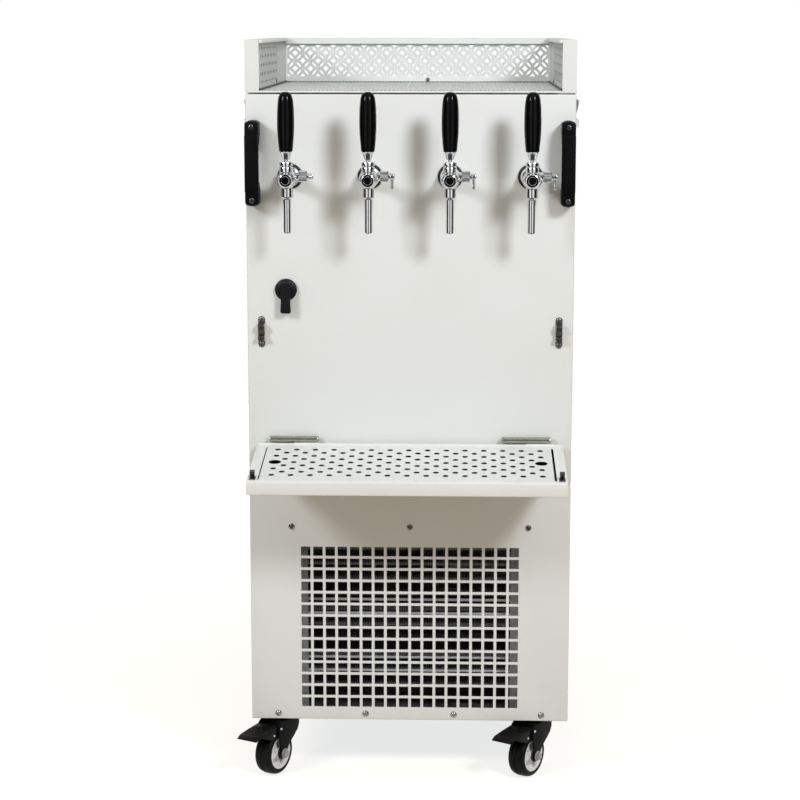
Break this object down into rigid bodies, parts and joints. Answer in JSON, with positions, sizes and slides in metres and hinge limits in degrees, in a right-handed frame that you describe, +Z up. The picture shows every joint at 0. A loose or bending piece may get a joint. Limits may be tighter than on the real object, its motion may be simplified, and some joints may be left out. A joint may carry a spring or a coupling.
{
  "type": "draft beer dispenser",
  "caption": "Floor-standing draft beer dispenser on casters: insulated keg cabinet with taps on its door, fold-down drip tray, grilled machine bay and a hinged lattice glass deck.",
  "frame": {"origin": "on the floor, under the middle of the object's bounding box", "axes": "+Z up, +X to the viewer's right when facing the taps, -Y out of the front"},
  "size_m": [0.5945, 0.7841, 1.297],
  "materials": {
    "cream_paint": "satin powder coat",
    "galvanised": "zinc plated",
    "stainless": "brushed",
    "screw_steel": "zinc plated",
    "liner_plastic": "matte",
    "fin_aluminium": "mill finish",
    "compressor_black": "gloss",
    "tap_chrome": "polished",
    "black_plastic": "gloss",
    "black_steel": "satin",
    "wheel_polyurethane": "satin",
    "spigot_plastic": "translucent"
  },
  "bodies": {
    "cabinet": {"base_pan": "galvanised", "side_panels": "cream_paint", "rear_panel": "cream_paint", "service_panel": "cream_paint", "machine_deck": "galvanised", "chamber_liner": "liner_plastic", "evaporator": "fin_aluminium", "compressor": "compressor_black", "condenser": "fin_aluminium", "fan_motor": "galvanised", "panel_screws": "screw_steel", "door_pivots": "galvanised", "toggle_bases": "galvanised", "lid_hinge_fixed": "galvanised", "rear_inlets": "galvanised", "caster_plates": "black_steel", "rear_forks": "black_steel"},
    "door": {"door_panel": "cream_paint", "door_liner": "liner_plastic", "tap_shanks": "tap_chrome", "shank_flanges": "black_plastic", "tap_bodies": "tap_chrome", "tap_caps": "black_plastic", "tap_spouts": "tap_chrome", "pull_handles": "black_plastic", "latch_base": "black_plastic", "roller_catches": "galvanised", "tray_hinge_fixed": "stainless"},
    "latch": {"latch_lever": "black_plastic", "latch_cam": "galvanised"},
    "tray": {"drip_tray": "cream_paint", "tray_hinge_moving": "stainless", "tray_strikes": "galvanised", "drain_spigot": "spigot_plastic"},
    "grid": {"drip_grid": "cream_paint"},
    "lid": {"lid_deck": "stainless", "gallery_back": "cream_paint", "gallery_sides": "cream_paint", "toggle_keepers": "galvanised", "lid_hinge_moving": "galvanised"},
    "toggle_left": {"toggle_lever_left": "galvanised"},
    "toggle_right": {"toggle_lever_right": "galvanised"},
    "fan": {"fan_blade": "fin_aluminium"},
    "caster_left": {"front_fork_left": "black_steel"},
    "caster_right": {"front_fork_right": "black_steel"},
    "pedal_left": {"brake_pedal_left": "black_steel"},
    "pedal_right": {"brake_pedal_right": "black_steel"},
    "wheel_front_left": {"front_wheel_left": "wheel_polyurethane"},
    "wheel_front_right": {"front_wheel_right": "wheel_polyurethane"},
    "wheel_rear_left": {"rear_wheel_left": "wheel_polyurethane"},
    "wheel_rear_right": {"rear_wheel_right": "wheel_polyurethane"},
    "handle_1": {"tap_handle_1": "black_plastic"},
    "flow_1": {"flow_lever_1": "tap_chrome"},
    "handle_2": {"tap_handle_2": "black_plastic"},
    "flow_2": {"flow_lever_2": "tap_chrome"},
    "handle_3": {"tap_handle_3": "black_plastic"},
    "flow_3": {"flow_lever_3": "tap_chrome"},
    "handle_4": {"tap_handle_4": "black_plastic"},
    "flow_4": {"flow_lever_4": "tap_chrome"}
  },
  "joints": [
    {"name": "door_swing", "type": "hinge", "parent": "cabinet", "child": "door", "pos_m": [0.27, -0.16718, 0.8715], "axis": [0, 0, 1], "range_deg": [0, 100]},
    {"name": "latch_turn", "type": "hinge", "parent": "door", "child": "latch", "pos_m": [-0.213, -0.18118, 0.874], "axis": [0, 1, 0], "range_deg": [0, 90]},
    {"name": "tray_fold", "type": "hinge", "parent": "door", "child": "tray", "pos_m": [0, -0.18918, 0.6145], "axis": [1, 0, 0], "range_deg": [-96.6, 0]},
    {"name": "grid_lift", "type": "slide", "parent": "tray", "child": "grid", "axis": [0, -0.1149, 0.9934], "range_m": [0, 0.06]},
    {"name": "handle_1_tilt", "type": "hinge", "parent": "door", "child": "handle_1", "pos_m": [-0.204, -0.26918, 1.09], "axis": [1, 0, 0], "range_deg": [-8, 28]},
    {"name": "handle_2_tilt", "type": "hinge", "parent": "door", "child": "handle_2", "pos_m": [-0.068, -0.26918, 1.09], "axis": [1, 0, 0], "range_deg": [-8, 28]},
    {"name": "handle_3_tilt", "type": "hinge", "parent": "door", "child": "handle_3", "pos_m": [0.068, -0.26918, 1.09], "axis": [1, 0, 0], "range_deg": [-8, 28]},
    {"name": "handle_4_tilt", "type": "hinge", "parent": "door", "child": "handle_4", "pos_m": [0.204, -0.26918, 1.09], "axis": [1, 0, 0], "range_deg": [-8, 28]},
    {"name": "flow_1_turn", "type": "hinge", "parent": "door", "child": "flow_1", "pos_m": [-0.164, -0.24318, 1.0722], "axis": [1, 0, 0], "range_deg": [0, 90]},
    {"name": "flow_2_turn", "type": "hinge", "parent": "door", "child": "flow_2", "pos_m": [-0.028, -0.24318, 1.0722], "axis": [1, 0, 0], "range_deg": [-90, 0]},
    {"name": "flow_3_turn", "type": "hinge", "parent": "door", "child": "flow_3", "pos_m": [0.108, -0.24318, 1.0722], "axis": [1, 0, 0], "range_deg": [-90, 0]},
    {"name": "flow_4_turn", "type": "hinge", "parent": "door", "child": "flow_4", "pos_m": [0.244, -0.24318, 1.0722], "axis": [1, 0, 0], "range_deg": [-90, 0]},
    {"name": "lid_open", "type": "hinge", "parent": "cabinet", "child": "lid", "pos_m": [0, 0.38582, 1.2082], "axis": [-1, 0, 0], "range_deg": [0, 75]},
    {"name": "toggle_left_swing", "type": "hinge", "parent": "cabinet", "child": "toggle_left", "pos_m": [-0.285, -0.09918, 1.155], "axis": [0, -1, 0], "range_deg": [0, 80]},
    {"name": "toggle_right_swing", "type": "hinge", "parent": "cabinet", "child": "toggle_right", "pos_m": [0.285, -0.09918, 1.155], "axis": [0, 1, 0], "range_deg": [0, 80]},
    {"name": "fan_spin", "type": "hinge", "parent": "cabinet", "child": "fan", "pos_m": [0, -0.04618, 0.271], "axis": [0, 1, 0], "continuous": true},
    {"name": "caster_left_swivel", "type": "hinge", "parent": "cabinet", "child": "caster_left", "pos_m": [-0.227, -0.13518, 0.1], "axis": [0, 0, 1], "continuous": true},
    {"name": "wheel_front_left_spin", "type": "hinge", "parent": "caster_left", "child": "wheel_front_left", "pos_m": [-0.24374, -0.16477, 0.04], "axis": [0.8704, -0.4924, 0], "continuous": true},
    {"name": "pedal_left_press", "type": "hinge", "parent": "caster_left", "child": "pedal_left", "pos_m": [-0.24817, -0.17261, 0.088], "axis": [0.8704, -0.4924, 0], "range_deg": [0, 12]},
    {"name": "wheel_rear_left_spin", "type": "hinge", "parent": "cabinet", "child": "wheel_rear_left", "pos_m": [-0.227, 0.34082, 0.04], "axis": [1, 0, 0], "continuous": true},
    {"name": "caster_right_swivel", "type": "hinge", "parent": "cabinet", "child": "caster_right", "pos_m": [0.227, -0.13518, 0.1], "axis": [0, 0, 1], "continuous": true},
    {"name": "wheel_front_right_spin", "type": "hinge", "parent": "caster_right", "child": "wheel_front_right", "pos_m": [0.20823, -0.16353, 0.04], "axis": [0.8339, -0.5519, 0], "continuous": true},
    {"name": "pedal_right_press", "type": "hinge", "parent": "caster_right", "child": "pedal_right", "pos_m": [0.20327, -0.17104, 0.088], "axis": [0.8339, -0.5519, 0], "range_deg": [0, 12]},
    {"name": "wheel_rear_right_spin", "type": "hinge", "parent": "cabinet", "child": "wheel_rear_right", "pos_m": [0.227, 0.34082, 0.04], "axis": [1, 0, 0], "continuous": true}
  ]
}
